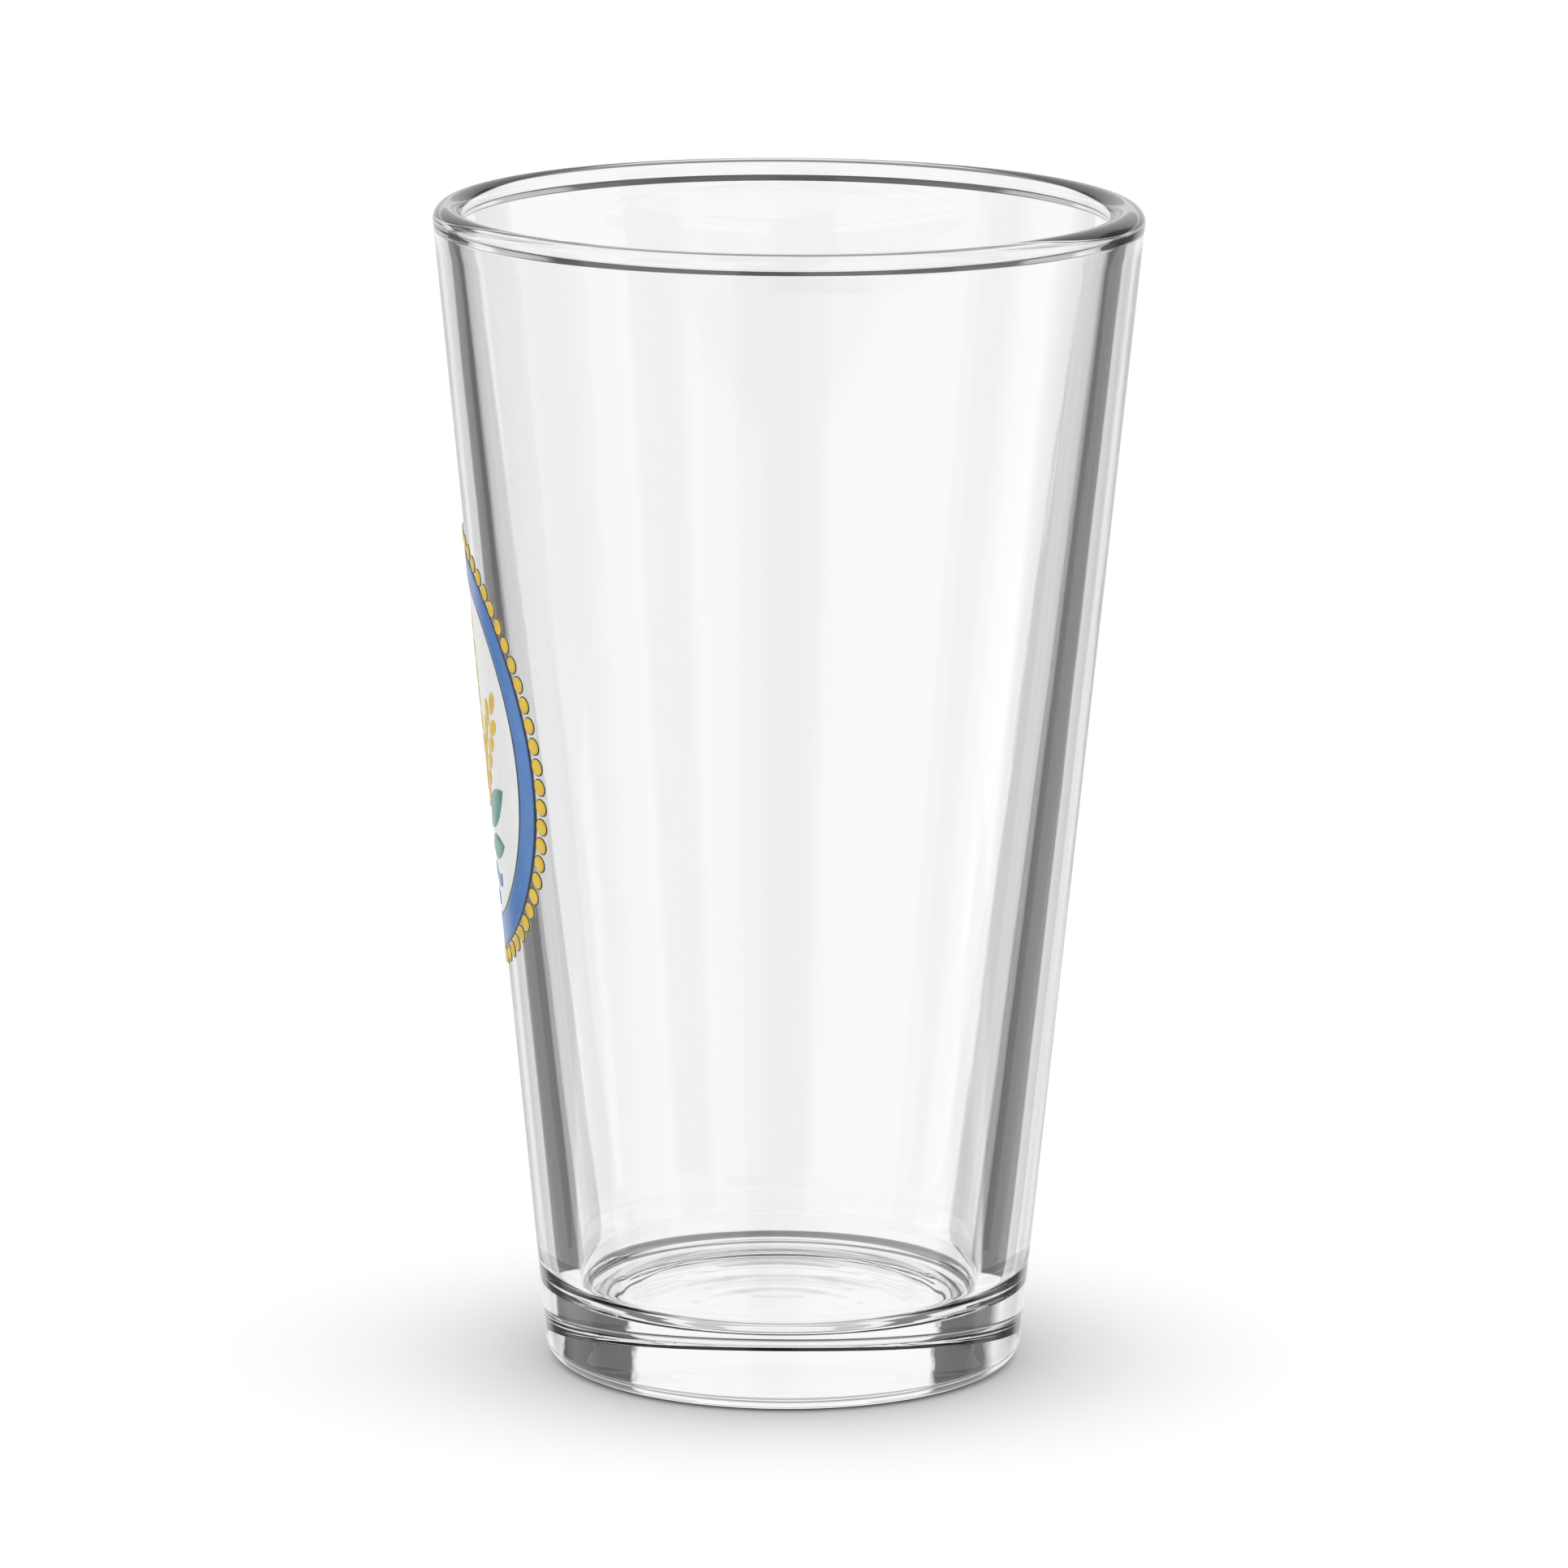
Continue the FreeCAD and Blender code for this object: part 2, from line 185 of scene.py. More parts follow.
def glass_profile():
    """Half section from the middle of the underside, up the outside, to the middle of the floor."""
    lean = math.atan(TAPER)
    inner_lean = math.atan(INNER_TAPER)
    points = []
    for step in range(RECESS_ROWS + 1):  # recess and dimple, both pressed with soft edges
        radius = UNDERSIDE_RADIUS * step / RECESS_ROWS
        points.append((radius, PUSHUP_DEPTH * (1 - eased(radius, PUSHUP_SLOPE))
                       + DIMPLE_DEPTH * (1 - eased(radius, DIMPLE_SLOPE))))
    heel_x = BASE_RADIUS + TAPER * HEEL_RADIUS - HEEL_RADIUS / math.cos(lean)
    points += line_points((UNDERSIDE_RADIUS, 0.0), (heel_x, 0.0), BEARING_ROWS)
    points += arc_points(heel_x, HEEL_RADIUS, HEEL_RADIUS, 270, 360 - math.degrees(lean), HEEL_ROWS)

    rim = (WALL_TOP + BEAD_BULGE) / 2
    rim_x = TOP_RADIUS - TAPER * rim - rim / math.cos(lean)
    rim_arc = [(x, HEIGHT + (z - rim) * RIM_SQUASH) for x, z in arc_points(
        rim_x, 0.0, rim, -math.degrees(lean), 180 - math.degrees(inner_lean), RIM_ROWS)]
    points += line_points(points.pop(), rim_arc[0], OUTSIDE_ROWS)
    points += rim_arc

    bead_foot = points[-1][1]
    for step in range(1, BEAD_ROWS + 1):  # under the bead the wall steps back out to its cone
        share = step / BEAD_ROWS
        height = bead_foot - BEAD_STEP * share
        points.append((INNER_LOW_RADIUS + INNER_TAPER * (height - FLOOR_HEIGHT)
                       - BEAD_BULGE * (1 - even_step(share)), height))

    corner_x = INNER_LOW_RADIUS + INNER_TAPER * CORNER_RADIUS - CORNER_RADIUS / math.cos(inner_lean)
    corner = arc_points(corner_x, FLOOR_HEIGHT + CORNER_RADIUS, CORNER_RADIUS,
                        -math.degrees(inner_lean), -90, CORNER_ROWS)
    points += line_points(points.pop(), corner[0], INSIDE_ROWS)
    points += corner
    for step in range(1, FLOOR_ROWS + 1):
        radius = corner_x * (1 - step / FLOOR_ROWS)
        points.append((radius, FLOOR_HEIGHT + floor_rise(radius)))
    return points


SEGMENTS = 300
SHIFT_ROWS = 12               # rows to either side of the top, over which the plunger's shift grows
CALM_HEIGHT = 2.0 * MM        # the outside gets even towards the resting plane, below this height
PLUNGER_SHIFT = -0.40 * MM    # the inside is pressed a little off the axis, along Y
PRESSED_WAVE = 0.0045 * MM    # slow unevenness all over
PRESSED_SIZE = 9 * MM
RIPPLE_WAVE = 0.16            # finer unevenness on top of it, as a share of it
RIPPLE_SIZE = 3.2 * MM
RIPPLE_PLACE = Vector((31.0, 7.0, 3.0))
DRAG_WAVE = 0.0010 * MM       # fine upright lines left by the plunger, inside only
DRAG_SIZE = 1.6 * MM


def unevenness(x, y, z, inside):
    """How far the surface there lies off its true shape. The waves are stretched upwards."""
    swell = noise.noise(Vector((x, y, z * 0.55)) / PRESSED_SIZE) * PRESSED_WAVE
    ripple = noise.noise(Vector((x, y, z * 0.7)) / RIPPLE_SIZE + RIPPLE_PLACE)
    swell += ripple * PRESSED_WAVE * RIPPLE_WAVE
    if inside:
        swell += noise.noise(Vector((x, y, z * 0.03)) / DRAG_SIZE) * DRAG_WAVE
    return swell


def make_glass(material):
    """Turns the half section. Every vertex lies off it along its normal by the unevenness."""
    profile = glass_profile()
    bm = bmesh.new()
    rows = []
    top = max(range(len(profile)), key=lambda index: profile[index][1])
    for index, (radius, height) in enumerate(profile):
        if radius == 0.0:
            rows.append([bm.verts.new((0.0, PLUNGER_SHIFT if index else 0.0, height))])
            continue
        before = profile[index - 1]
        after = profile[index + 1]
        run = math.hypot(after[0] - before[0], after[1] - before[1])
        out_r = (after[1] - before[1]) / run
        out_z = -(after[0] - before[0]) / run
        inside = index > top
        shift = PLUNGER_SHIFT * eased(index, (top - SHIFT_ROWS, top + SHIFT_ROWS))
        fade = 1.0 if inside else min(1.0, height / CALM_HEIGHT)
        row = []
        for segment in range(SEGMENTS):
            angle = 2 * math.pi * segment / SEGMENTS
            x, y = math.cos(angle), math.sin(angle)
            off = unevenness(x * radius, y * radius, height, inside) * fade
            row.append(bm.verts.new((x * (radius + out_r * off),
                                     y * (radius + out_r * off) + shift,
                                     height + out_z * off)))
        rows.append(row)
    turned_faces(bm, rows, SEGMENTS)
    return new_piece("glass", bm, material, "glass", "glass_body")


# ---------------------------------------------------------------- the printed badge


def on_wall(arc_length, rise, offset):
    """A point of the badge: so far round the wall, so far up, so far off the glass."""
    z = BADGE_HEIGHT + rise
    x = BADGE_RADIUS * math.sin(arc_length / BADGE_RADIUS)
    radius = BASE_RADIUS + TAPER * z + offset
    return (x, -math.sqrt(radius * radius - x * x), z)


def add_patch(bm, rows, low, high, closed, rim_drop=0.0, pole=False):
    """A thin coat, from low to high off the glass. rows are lines of (arc, rise) points.

    Closed rows run round a ring, and with a pole the first row is the ring's middle point. rim_drop
    lowers the edge, so that the coat thins towards it.
    """
    last = len(rows) - 1

    def crown(index):
        if closed:
            edge = last - index if pole else min(index, last - index)
        else:
            edge = min(index, last - index)
        return high - rim_drop if edge == 0 else high

    tops, bottoms = [], []
    for index, row in enumerate(rows):
        tops.append([bm.verts.new(on_wall(u, v, crown(index))) for u, v in row])
        bottoms.append([bm.verts.new(on_wall(u, v, low)) for u, v in row])
    for sheet in (tops, bottoms):
        for first, second in zip(sheet, sheet[1:]):
            count = len(second)
            for index in range(count if closed else count - 1):
                beside = (index + 1) % count
                if len(first) == 1:
                    bm.faces.new((first[0], second[index], second[beside]))
                else:
                    bm.faces.new((first[index], first[beside], second[beside], second[index]))
    edges = [last] if pole else [0, last]
    for index in edges:
        top, bottom = tops[index], bottoms[index]
        count = len(top)
        for place in range(count if closed else count - 1):
            beside = (place + 1) % count
            bm.faces.new((top[place], top[beside], bottom[beside], bottom[place]))
    if not closed:
        for end in (0, -1):
            for index in range(last):
                bm.faces.new((tops[index][end], tops[index + 1][end],
                              bottoms[index + 1][end], bottoms[index][end]))


def oval_row(half_width, half_height, count, middle=(0.0, 0.0), lean=0.0):
    """Points round an oval that leans so many degrees to the right."""
    slope = math.radians(lean)
    row = []
    for step in range(count):
        turn = 2 * math.pi * step / count
        side, along = half_width * math.sin(turn), half_height * math.cos(turn)
        row.append((middle[0] + side * math.cos(slope) + along * math.sin(slope),
                    middle[1] - side * math.sin(slope) + along * math.cos(slope)))
    return row


def badge_ring(outer_inset, inner_inset, rings):
    """Rows of an oval ring, each so far in from the edge of the badge."""
    rows = []
    for step in range(rings + 1):
        inset = inner_inset + (outer_inset - inner_inset) * step / rings
        rows.append(oval_row(BADGE_HALF_WIDTH - inset, BADGE_HALF_HEIGHT - inset, RING_POINTS))
    return rows


def disc_rows(half_width, half_height, rings, count, middle=(0.0, 0.0), lean=0.0):
    """Rows of a filled oval, from its middle point to its edge."""
    rows = [[middle]]
    for step in range(1, rings + 1):
        share = step / rings
        rows.append(oval_row(half_width * share, half_height * share, count, middle, lean))
    return rows


# Heights off the glass
GLASS_GAP = 0.015 * MM
UNDER_TOP = 0.05 * MM        # white under the beads
WHITE_TOP = 0.10 * MM
COLOUR_TOP = 0.18 * MM
BEAD_TOP = COLOUR_TOP + 0.05 * MM
GRAIN_TOP = COLOUR_TOP + 0.04 * MM
LEAF_TOP = COLOUR_TOP + 0.03 * MM

RING_POINTS = 240
BEAD_COUNT = 62
BEAD_RADIUS = 1.0 * MM
OUTLINE_RADIUS = 1.14 * MM   # of the dark round under each bead


def make_white(material):
    """The underprint: the whole badge inside its edging, and a round under every bead."""
    bm = bmesh.new()
    rows = disc_rows(BADGE_HALF_WIDTH - EDGING, BADGE_HALF_HEIGHT - EDGING, 24, RING_POINTS)
    add_patch(bm, rows, GLASS_GAP, WHITE_TOP, True, pole=True)
    for place in bead_places():
        rows = disc_rows(OUTLINE_RADIUS, OUTLINE_RADIUS, 2, 24, place)
        add_patch(bm, rows, GLASS_GAP, UNDER_TOP, True, pole=True)
    return new_piece("white_base", bm, material, "ink_white", "print_white_base")


def make_band(material):
    bm = bmesh.new()
    outer = EDGING + LINE
    add_patch(bm, badge_ring(outer, outer + BAND, 10), WHITE_TOP, COLOUR_TOP, True)
    return new_piece("blue_band", bm, material, "ink_blue", "print_blue_band")


def bead_places():
    """Places at even steps along the middle line of the edging."""
    half_width = BADGE_HALF_WIDTH - EDGING / 2
    half_height = BADGE_HALF_HEIGHT - EDGING / 2
    path = oval_row(half_width, half_height, RING_POINTS * 15)
    lengths = [0.0]
    for first, second in zip(path, path[1:] + path[:1]):
        lengths.append(lengths[-1] + math.dist(first, second))
    places = []
    index = 0
    for bead in range(BEAD_COUNT):
        while lengths[index] < lengths[-1] * bead / BEAD_COUNT:
            index += 1
        places.append(path[index % len(path)])
    return places


def make_beads(material):
    bm = bmesh.new()
    for place in bead_places():
        rows = disc_rows(BEAD_RADIUS, BEAD_RADIUS, 4, 20, place)
        add_patch(bm, rows, WHITE_TOP, BEAD_TOP, True, rim_drop=0.05 * MM, pole=True)
    return new_piece("gold_beads", bm, material, "ink_gold", "print_gold_beads")


def make_lines(material):
    """Both edges of the band, and a dark round under every bead."""
    bm = bmesh.new()
    inner = EDGING + LINE + BAND
    add_patch(bm, badge_ring(EDGING, EDGING + LINE, 1), GLASS_GAP, COLOUR_TOP, True)
    add_patch(bm, badge_ring(inner, inner + LINE, 1), WHITE_TOP, COLOUR_TOP, True)
    for place in bead_places():
        rows = disc_rows(OUTLINE_RADIUS, OUTLINE_RADIUS, 2, 24, place)
        add_patch(bm, rows, UNDER_TOP, WHITE_TOP, True, pole=True)
    return new_piece("dark_lines", bm, material, "ink_dark", "print_dark_lines")


EAR_FOOT = -9.3 * MM            # where the stalks meet
EAR_PAIRS = 5                   # pairs of grains, and one more grain at the tip
GRAIN_PITCH = 3.05 * MM
GRAIN_OFFSET = 1.38 * MM
GRAIN_LEAN = 25.0
GRAIN = (0.9 * MM, 1.8 * MM)    # half width and half length
EARS = [(0.0, 9.3 * MM), (36.0, 5.2 * MM), (-36.0, 5.2 * MM)]    # lean and length of stalk


def beside_ear(lean, out, aside=0.0):
    """A point of the badge: so far out along an ear, and so far to its side."""
    slope = math.radians(lean)
    return (math.sin(slope) * out + math.cos(slope) * aside,
            math.cos(slope) * out - math.sin(slope) * aside + EAR_FOOT)


def make_barley(material):
    bm = bmesh.new()
    for lean, stalk in EARS:
        grains = [(beside_ear(lean, stalk + EAR_PAIRS * GRAIN_PITCH), lean)]
        for pair in range(EAR_PAIRS):
            for way in (-1, 1):
                place = beside_ear(lean, stalk + pair * GRAIN_PITCH, way * GRAIN_OFFSET)
                grains.append((place, lean + way * GRAIN_LEAN))
        for place, grain_lean in grains:
            rows = disc_rows(*GRAIN, 3, 20, place, grain_lean)
            add_patch(bm, rows, WHITE_TOP, GRAIN_TOP, True, rim_drop=0.05 * MM, pole=True)
    return new_piece("barley", bm, material, "ink_gold", "print_barley")


LEAF_TIP = 0.004                # width left at a leaf's tip, as a share of its full width


def lens_rows(middle, length, half_width, lean, steps=24, across=4):
    """Rows along a leaf from one long edge to the other."""
    slope = math.radians(lean)
    rows = []
    for side_step in range(across + 1):
        side = -1 + 2 * side_step / across
        row = []
        for step in range(steps + 1):
            share = -1 + 2 * step / steps
            out = share * length / 2
            aside = side * half_width * max(1 - share * share, LEAF_TIP)
            row.append((middle[0] + math.sin(slope) * out + math.cos(slope) * aside,
                        middle[1] + math.cos(slope) * out - math.sin(slope) * aside))
        rows.append(row)
    return rows


LEAVES = [  # middle, length, half width and lean of the leaves on the right
    ((7.8 * MM, -6.9 * MM), 11.8 * MM, 1.9 * MM, 58),
    ((6.45 * MM, -12.0 * MM), 9.44 * MM, 1.615 * MM, 80),
]
STALK_WIDTH = 0.6 * MM
STALK_START = 1.44 * MM         # out along the ear, clear of the other stalks


def make_leaves(material):
    bm = bmesh.new()
    shapes = []
    for way in (-1, 1):
        for (aside, up), length, half_width, lean in LEAVES:
            shapes.append(((way * aside, up), length, half_width, way * lean))
    for lean, stalk in EARS:
        length = stalk - GRAIN[1] - STALK_START
        shapes.append((beside_ear(lean, STALK_START + length / 2), length, STALK_WIDTH / 2, lean))
    for shape in shapes:
        add_patch(bm, lens_rows(*shape), WHITE_TOP, LEAF_TOP, False, rim_drop=0.04 * MM)
    return new_piece("leaves", bm, material, "ink_green", "print_leaves")


WAVES = [(-16.0 * MM, 2), (-19.1 * MM, 1)]    # middle height and number of crests
WAVE_LENGTH = 7.8 * MM
WAVE_RISE = 0.5 * MM
WAVE_WIDTH = 1.6 * MM
WAVE_STEPS = 24                 # to a crest


def make_water(material):
    bm = bmesh.new()
    for middle, crests in WAVES:
        rows = []
        for side in (-1, -0.8, 0, 0.8, 1):
            row = []
            for step in range(WAVE_STEPS * crests + 1):
                turn = step / WAVE_STEPS
                rise = middle + WAVE_RISE * math.sin(2 * math.pi * turn) + side * WAVE_WIDTH / 2
                row.append(((turn - crests / 2) * WAVE_LENGTH, rise))
            rows.append(row)
        add_patch(bm, rows, WHITE_TOP, COLOUR_TOP, False, rim_drop=0.03 * MM)
    return new_piece("water", bm, material, "ink_blue", "print_water")


# ---------------------------------------------------------------- materials


def new_material(name):
    """A material of one Principled shader: the material, its node tree and the shader."""
    material = bpy.data.materials.new(name)
    material.use_nodes = True
    tree = material.node_tree
    tree.nodes.clear()
    output = tree.nodes.new("ShaderNodeOutputMaterial")
    shader = tree.nodes.new("ShaderNodeBsdfPrincipled")
    tree.links.new(shader.outputs["BSDF"], output.inputs["Surface"])
    return material, tree, shader


def object_noise(tree, scale, stretch=(1, 1, 1), detail=3.0, rough=0.5):
    """Noise over the piece's own coordinates; scale is in features per metre."""
    place = tree.nodes.new("ShaderNodeTexCoord")
    mapping = tree.nodes.new("ShaderNodeMapping")
    mapping.inputs["Scale"].default_value = stretch
    texture = tree.nodes.new("ShaderNodeTexNoise")
    texture.inputs["Scale"].default_value = scale
    texture.inputs["Detail"].default_value = detail
    texture.inputs["Roughness"].default_value = rough
    tree.links.new(place.outputs["Object"], mapping.inputs["Vector"])
    tree.links.new(mapping.outputs["Vector"], texture.inputs["Vector"])
    return texture.outputs["Fac"]


def ranged(tree, value, low, high):
    """0 to 1 carried over to low to high."""
    node = tree.nodes.new("ShaderNodeMapRange")
    node.inputs["To Min"].default_value = low
    node.inputs["To Max"].default_value = high
    tree.links.new(value, node.inputs["Value"])
    return node.outputs["Result"]


def bump(tree, shader, height, distance, strength=1.0):
    node = tree.nodes.new("ShaderNodeBump")
    node.inputs["Distance"].default_value = distance
    node.inputs["Strength"].default_value = strength
    tree.links.new(height, node.inputs["Height"])
    tree.links.new(node.outputs["Normal"], shader.inputs["Normal"])


def glass_material():
    """Clear soda-lime glass, with the faint skin texture of a fire-polished pressing."""
    material, tree, shader = new_material("pressed_glass")
    shader.inputs["Base Color"].default_value = (0.99, 0.99, 0.99, 1)
    shader.inputs["Transmission Weight"].default_value = 1.0
    shader.inputs["IOR"].default_value = 1.52
    shader.inputs["Roughness"].default_value = 0.0
    skin = object_noise(tree, 260, (1, 1, 0.35), 2.0)
    bump(tree, shader, skin, 0.004 * MM, 0.5)
    return material


def ink_material(name, colour, shade, roughness=0.22):
    """Cured glass ink: a little mottled in colour, with a fine dry-ink grain in its gloss."""
    material, tree, shader = new_material(name)
    mottle = object_noise(tree, 420, (1, 1, 1), 4.0, 0.6)
    mix = tree.nodes.new("ShaderNodeMix")
    mix.data_type = "RGBA"
    mix.inputs["A"].default_value = (*colour, 1)
    mix.inputs["B"].default_value = (*shade, 1)
    tree.links.new(ranged(tree, mottle, -0.4, 1.3), mix.inputs["Factor"])
    tree.links.new(mix.outputs["Result"], shader.inputs["Base Color"])
    grain = object_noise(tree, 3000, (1, 1, 1), 3.0, 0.6)
    tree.links.new(ranged(tree, grain, roughness - 0.06, roughness + 0.1),
                   shader.inputs["Roughness"])
    bump(tree, shader, grain, 0.01 * MM, 0.35)
    shader.inputs["IOR"].default_value = 1.5
    return material


def srgb(red, green, blue):
    """Linear colour from 0-255 display values."""
    values = []
    for level in (red, green, blue):
        share = level / 255
        values.append(share / 12.92 if share <= 0.04045 else ((share + 0.055) / 1.055) ** 2.4)
    return tuple(values)


# ---------------------------------------------------------------- stage: floor, light, camera


def math_node(tree, operation, first, second=None, third=None):
    node = tree.nodes.new("ShaderNodeMath")
    node.operation = operation
    for index, value in enumerate((first, second, third)):
        if value is None:
            continue
        if isinstance(value, (int, float)):
            node.inputs[index].default_value = value
        else:
            tree.links.new(value, node.inputs[index])
    return node.outputs[0]


def mix_values(tree, factor, first, second):
    node = tree.nodes.new("ShaderNodeMix")
    for name, value in (("A", first), ("B", second), ("Factor", factor)):
        if isinstance(value, (int, float)):
            node.inputs[name].default_value = value
        else:
            tree.links.new(value, node.inputs[name])
    return node.outputs["Result"]


def off_panel(tree, azimuth, centres):
    """Degrees from the direction to the middle of the nearest panel."""
    nearest = None
    for centre in centres:
        turned = math_node(tree, "SUBTRACT", azimuth, centre)
        wrapped = math_node(tree, "WRAP", turned, 180.0, -180.0)
        away = math_node(tree, "ABSOLUTE", wrapped)
        nearest = away if nearest is None else math_node(tree, "MINIMUM", nearest, away)
    return nearest


def stepped(tree, value, stops, span=180.0):
    """Brightness by angle: straight lines between the stops."""
    ramp = tree.nodes.new("ShaderNodeValToRGB")
    elements = ramp.color_ramp.elements
    while len(elements) > 1:
        elements.remove(elements[-1])
    for index, (angle, level) in enumerate(stops):
        element = elements[0] if index == 0 else elements.new(angle / span)
        element.position = angle / span
        element.color = (level, level, level, 1)
    tree.links.new(math_node(tree, "DIVIDE", value, span), ramp.inputs["Fac"])
    return ramp.outputs["Color"]


WHITE = 0.95               # plain parts of the studio
DOME = 1.31                # soft light on the floor and the inks
DOME_SIDES = 0.25          # share of it added at the sides, and taken off in front and behind
PANEL_RIPPLE = 3.0         # the panels' edges wander by this many degrees
RIPPLE_SCALE = 60.0

# Brightness by degrees from the middle of a panel: in steep downward directions, in the directions
# that serve the wall, in those that serve the foot, and as the surface mirrors all of them
STEEP_PANEL = [(0, 0.965), (14.8, 1.0), (15.6, 0.70), (27, 0.70), (29, 0.30), (40, 0.25),
               (43, 0.95), (180, 0.95)]
WALL_PANEL = [(0, 0.965), (6, 0.965), (14.8, 1.08), (15.5, 0.75), (27, 0.79), (28.5, 0.21),
              (34, 0.15), (40, 0.09), (74, 0.08), (78, 0.95), (180, 0.95)]
FOOT_PANEL = [(0, 0.965), (28.5, 0.965), (30, 0.12), (48, 0.10), (54, 0.95), (180, 0.95)]
MIRRORED_PANEL = [(0, 0.97), (25, 0.91), (33, 0.30), (46, 0.30), (57, 0.95), (80, 1.1), (180, 1.1)]

# Azimuths of the middles of the panels, in degrees
STEEP_CENTRES = (135, 225, 315)
WALL_CENTRES = (180, 315)
FOOT_CENTRES = (90, 180, 315)
PLAIN_AZIMUTH = 180        # the steep directions stay white round this azimuth
PLAIN_EDGE = (14, 16)      # as far as this to either side

ZONES = [  # the elevations, in degrees, over which each zone takes over from the one below it
    (-74, -72, "under"),
    (-63, -61, "white"),
    (-57, -53, "corner"),
    (-42, -39, "white"),
    (-33, -32, "steep"),
    (-21.6, -21.2, "wall"),
    (-7.6, -7.2, "foot"),
    (2.4, 2.9, "bead"),
    (5.8, 6.4, "bead_edge"),
    (8.6, 9.6, "foot"),
    (24, 30, "white"),
]
# What the zones hold: a brightness, or the brightness of panels
THROUGH = {"white": WHITE, "under": 0.60, "corner": 0.20, "bead": 0.10, "bead_edge": 0.50,
           "steep": STEEP_PANEL, "wall": WALL_PANEL, "foot": FOOT_PANEL}
MIRRORED = {"white": WHITE, "under": WHITE, "corner": WHITE, "bead": WHITE, "bead_edge": 1.35,
            "steep": MIRRORED_PANEL, "wall": MIRRORED_PANEL, "foot": MIRRORED_PANEL}


def zone(tree, value, low, high):
    """0 below low, 1 above high."""
    node = tree.nodes.new("ShaderNodeMapRange")
    node.interpolation_type = "SMOOTHSTEP"
    node.inputs["From Min"].default_value = low
    node.inputs["From Max"].default_value = high
    tree.links.new(value, node.inputs["Value"])
    return node.outputs["Result"]


def field(tree, azimuth, elevation, held):
    """Brightness of the studio by direction."""
    levels = dict(held)
    for name, centres in (("steep", STEEP_CENTRES), ("wall", WALL_CENTRES), ("foot", FOOT_CENTRES)):
        levels[name] = stepped(tree, off_panel(tree, azimuth, centres), held[name])
    off_plain = zone(tree, off_panel(tree, azimuth, (PLAIN_AZIMUTH,)), *PLAIN_EDGE)
    levels["steep"] = mix_values(tree, off_plain, WHITE, levels["steep"])
    value = WHITE
    for low, high, name in ZONES:
        value = mix_values(tree, zone(tree, elevation, low, high), value, levels[name])
    return value


def make_world():
    """White studio. What the glass refracts and mirrors is a set of white panels with dark gaps."""
    world = bpy.data.worlds.new("studio")
    bpy.context.scene.world = world
    world.use_nodes = True
    tree = world.node_tree
    tree.nodes.clear()
    output = tree.nodes.new("ShaderNodeOutputWorld")
    background = tree.nodes.new("ShaderNodeBackground")
    tree.links.new(background.outputs["Background"], output.inputs["Surface"])
    direction = tree.nodes.new("ShaderNodeTexCoord").outputs["Generated"]
    split = tree.nodes.new("ShaderNodeSeparateXYZ")
    tree.links.new(direction, split.inputs["Vector"])
    x, y, z = (split.outputs[axis] for axis in "XYZ")

    ripple = tree.nodes.new("ShaderNodeTexNoise")
    ripple.inputs["Scale"].default_value = RIPPLE_SCALE
    ripple.inputs["Detail"].default_value = 3.0
    tree.links.new(direction, ripple.inputs["Vector"])
    wander = math_node(tree, "MULTIPLY_ADD", ripple.outputs["Fac"], PANEL_RIPPLE, -PANEL_RIPPLE / 2)
    to_degrees = 180 / math.pi
    azimuth = math_node(tree, "MULTIPLY_ADD", math_node(tree, "ARCTAN2", y, x), to_degrees, wander)
    elevation = math_node(tree, "MULTIPLY", math_node(tree, "ARCSINE", z), to_degrees)

    through = field(tree, azimuth, elevation, THROUGH)
    mirrored = field(tree, azimuth, elevation, MIRRORED)
    sideways = math_node(tree, "SUBTRACT", math_node(tree, "POWER", y, 2.0),
                         math_node(tree, "POWER", x, 2.0))
    dome = math_node(tree, "MULTIPLY_ADD", sideways, DOME_SIDES * DOME, DOME)

    path = tree.nodes.new("ShaderNodeLightPath")
    seen = mix_values(tree, path.outputs["Is Reflection Ray"], through, mirrored)
    seen = mix_values(tree, path.outputs["Is Diffuse Ray"], seen, dome)
    seen = mix_values(tree, path.outputs["Is Camera Ray"], seen, 1.0)
    tree.links.new(seen, background.inputs["Color"])


FLOOR_RADIUS = 4.0
SHADE_HEIGHT = 34 * MM     # only the lower glass darkens the floor
SHADE_LIFT = 0.4 * MM      # off the floor
SHADE_INSET = 0.15 * MM    # inside the glass
SHADE_SEGMENTS = 96


def stage_body(name, bm, material_name, grey):
    """A matt body that stands in the studio and isn't part of the glass."""
    mesh = bpy.data.meshes.new(name)
    bm.to_mesh(mesh)
    bm.free()
    body = bpy.data.objects.new(name, mesh)
    bpy.context.scene.collection.objects.link(body)
    material, _, shader = new_material(material_name)
    shader.inputs["Base Color"].default_value = (grey, grey, grey, 1)
    shader.inputs["Roughness"].default_value = 1.0
    shader.inputs["Specular IOR Level"].default_value = 0.0
    mesh.materials.append(material)
    body.visible_transmission = False
    body.visible_glossy = False
    return body


def make_floor():
    bm = bmesh.new()
    bmesh.ops.create_circle(bm, cap_ends=True, segments=128, radius=FLOOR_RADIUS)
    floor = stage_body("floor", bm, "white_paper", 0.9)


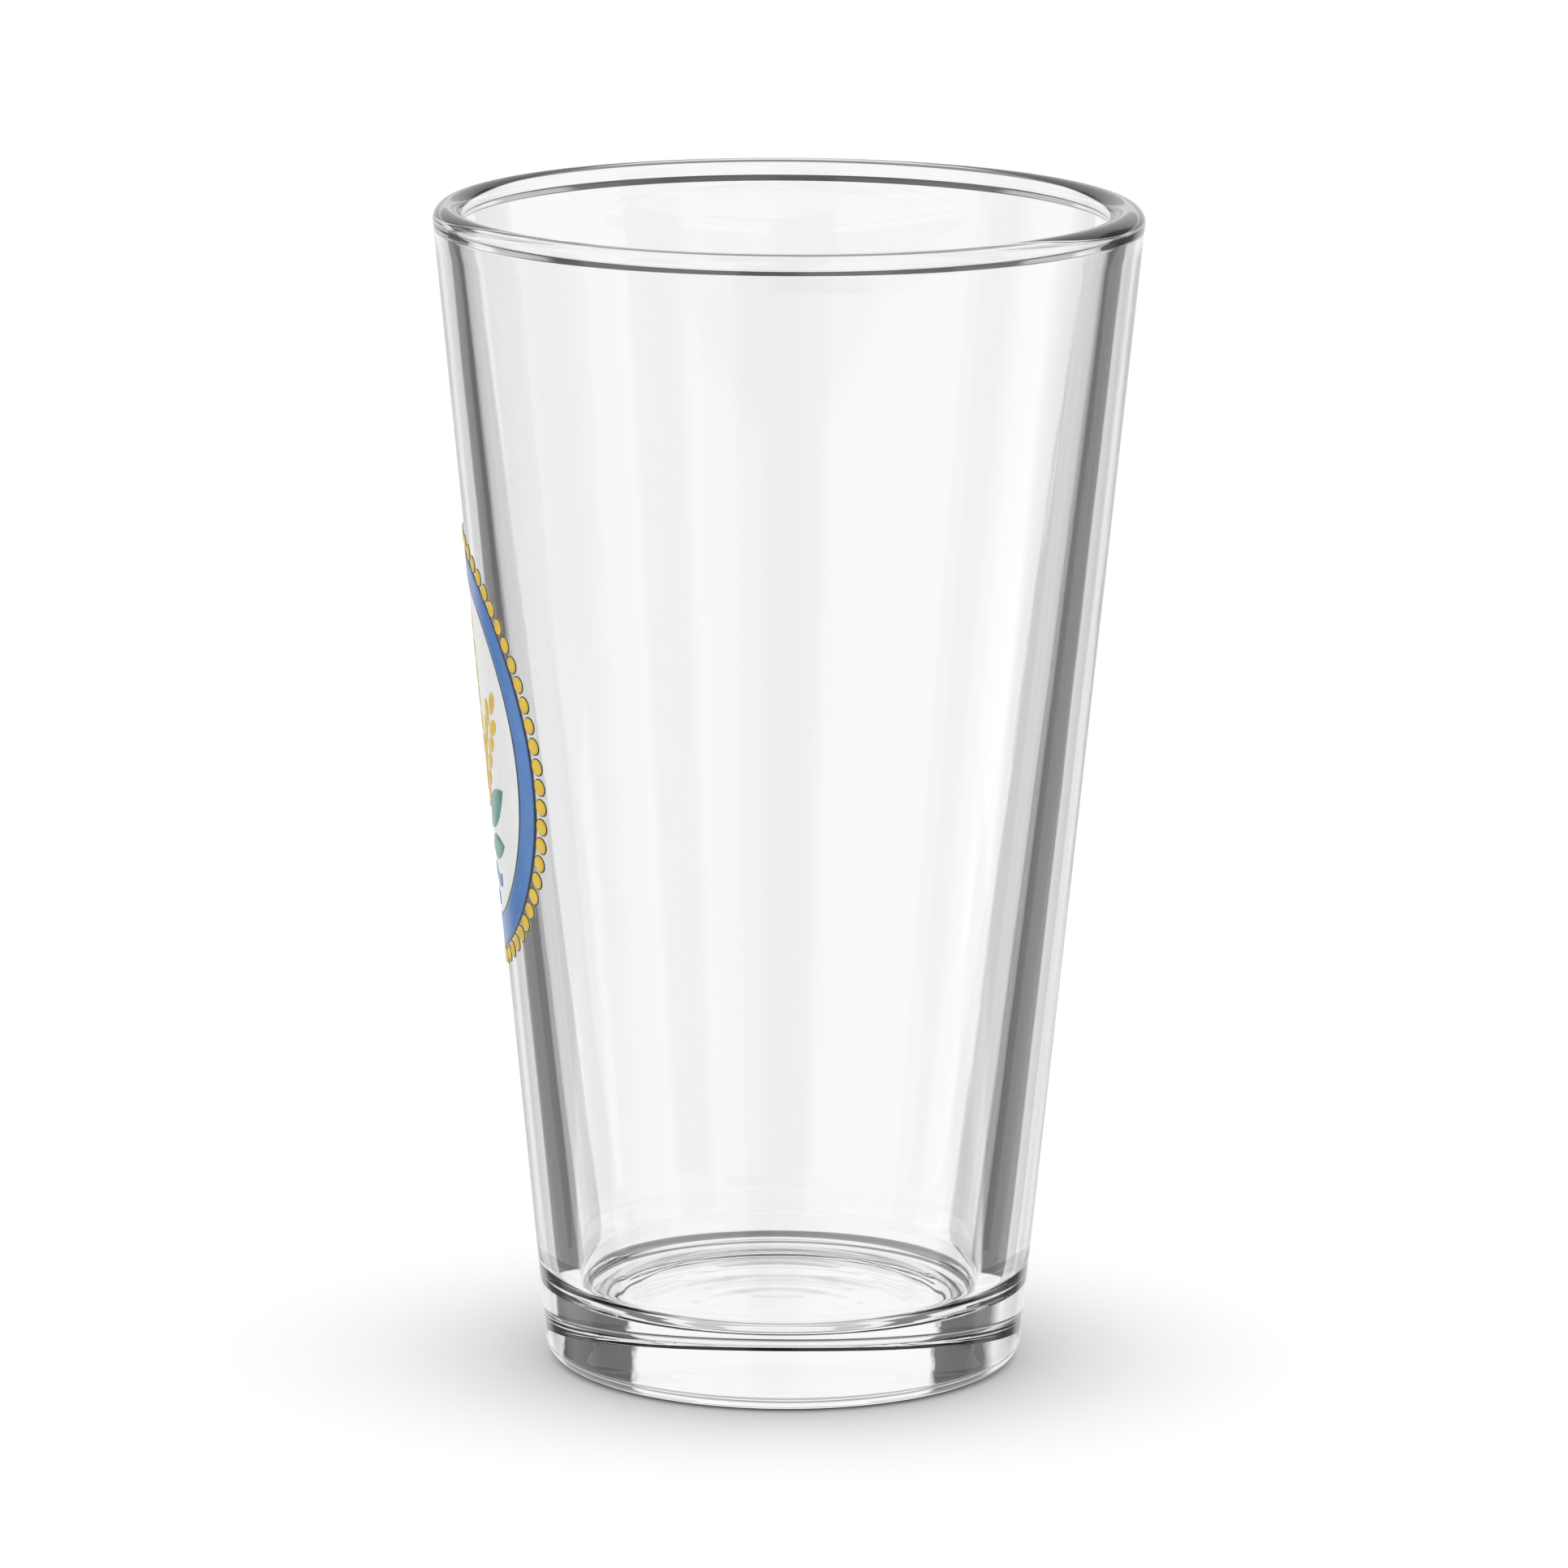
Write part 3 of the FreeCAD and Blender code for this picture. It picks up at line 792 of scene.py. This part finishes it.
def make_shade():
    """Stands for the glass in the soft light only, so that the floor gets a plain contact shadow."""
    outline = [(0.0, SHADE_LIFT)] + [
        (radius - SHADE_INSET, max(height, SHADE_LIFT)) for radius, height in glass_profile()
        if radius > BEARING_INNER_RADIUS * 1.01]
    top = next(index for index, point in enumerate(outline) if point[1] > SHADE_HEIGHT)
    outline = outline[:top] + [(0.0, outline[top - 1][1])]
    bm = bmesh.new()
    rows = []
    for radius, height in outline:
        row = []
        for step in range(SHADE_SEGMENTS if radius else 1):
            angle = 2 * math.pi * step / SHADE_SEGMENTS
            row.append(bm.verts.new((radius * math.cos(angle), radius * math.sin(angle), height)))
        rows.append(row)
    turned_faces(bm, rows, SHADE_SEGMENTS)
    shade = stage_body("shade", bm, "shade_black", 0.0)
    shade.visible_camera = False
    shade.visible_shadow = False


CAMERA_ELEVATION = 11.56   # degrees
CAMERA_DISTANCE = 1.2
CAMERA_LENS = 219.1
CAMERA_SENSOR = 36.0
CAMERA_AIM_HEIGHT = 73.7 * MM
CAMERA_ROLL = 0.307        # degrees
CAMERA_SHIFT = -0.0013     # share of the sensor's width


def make_camera():
    """Looks from +X, so that the badge is on the left."""
    data = bpy.data.cameras.new("camera")
    data.lens = CAMERA_LENS
    data.sensor_width = CAMERA_SENSOR
    data.shift_x = CAMERA_SHIFT
    data.clip_start = 0.01
    data.clip_end = 20.0
    camera = bpy.data.objects.new("camera", data)
    bpy.context.scene.collection.objects.link(camera)
    slope = math.radians(CAMERA_ELEVATION)
    towards = Vector((math.cos(slope), 0.0, math.sin(slope)))
    camera.location = Vector((0, 0, CAMERA_AIM_HEIGHT)) + towards * CAMERA_DISTANCE
    camera.rotation_mode = "QUATERNION"
    roll = Quaternion((0, 0, 1), math.radians(CAMERA_ROLL))
    camera.rotation_quaternion = (-towards).to_track_quat("-Z", "Y") @ roll
    bpy.context.scene.camera = camera


# ---------------------------------------------------------------- build

make_camera()
make_world()
make_floor()
make_shade()
bpy.context.scene.view_settings.view_transform = "Standard"

glass = make_glass(glass_material())
glass.visible_diffuse = False  # the shade stands for it in the soft light
white_ink = ink_material("ink_white", srgb(222, 222, 220), srgb(214, 214, 212), 0.3)
blue = ink_material("ink_blue", srgb(64, 117, 179), srgb(48, 101, 166))
gold = ink_material("ink_gold", srgb(218, 186, 50), srgb(196, 156, 26))
inks = [
    make_white(white_ink),
    make_band(blue),
    make_lines(ink_material("ink_dark", srgb(38, 34, 30), srgb(26, 24, 22))),
    make_beads(gold),
    make_barley(gold),
    make_leaves(ink_material("ink_green", srgb(74, 140, 132), srgb(52, 116, 108))),
    make_water(blue),
]
for ink in inks:  # the far half of the badge doesn't show through the clear wall
    ink.visible_transmission = False
    ink.visible_glossy = False
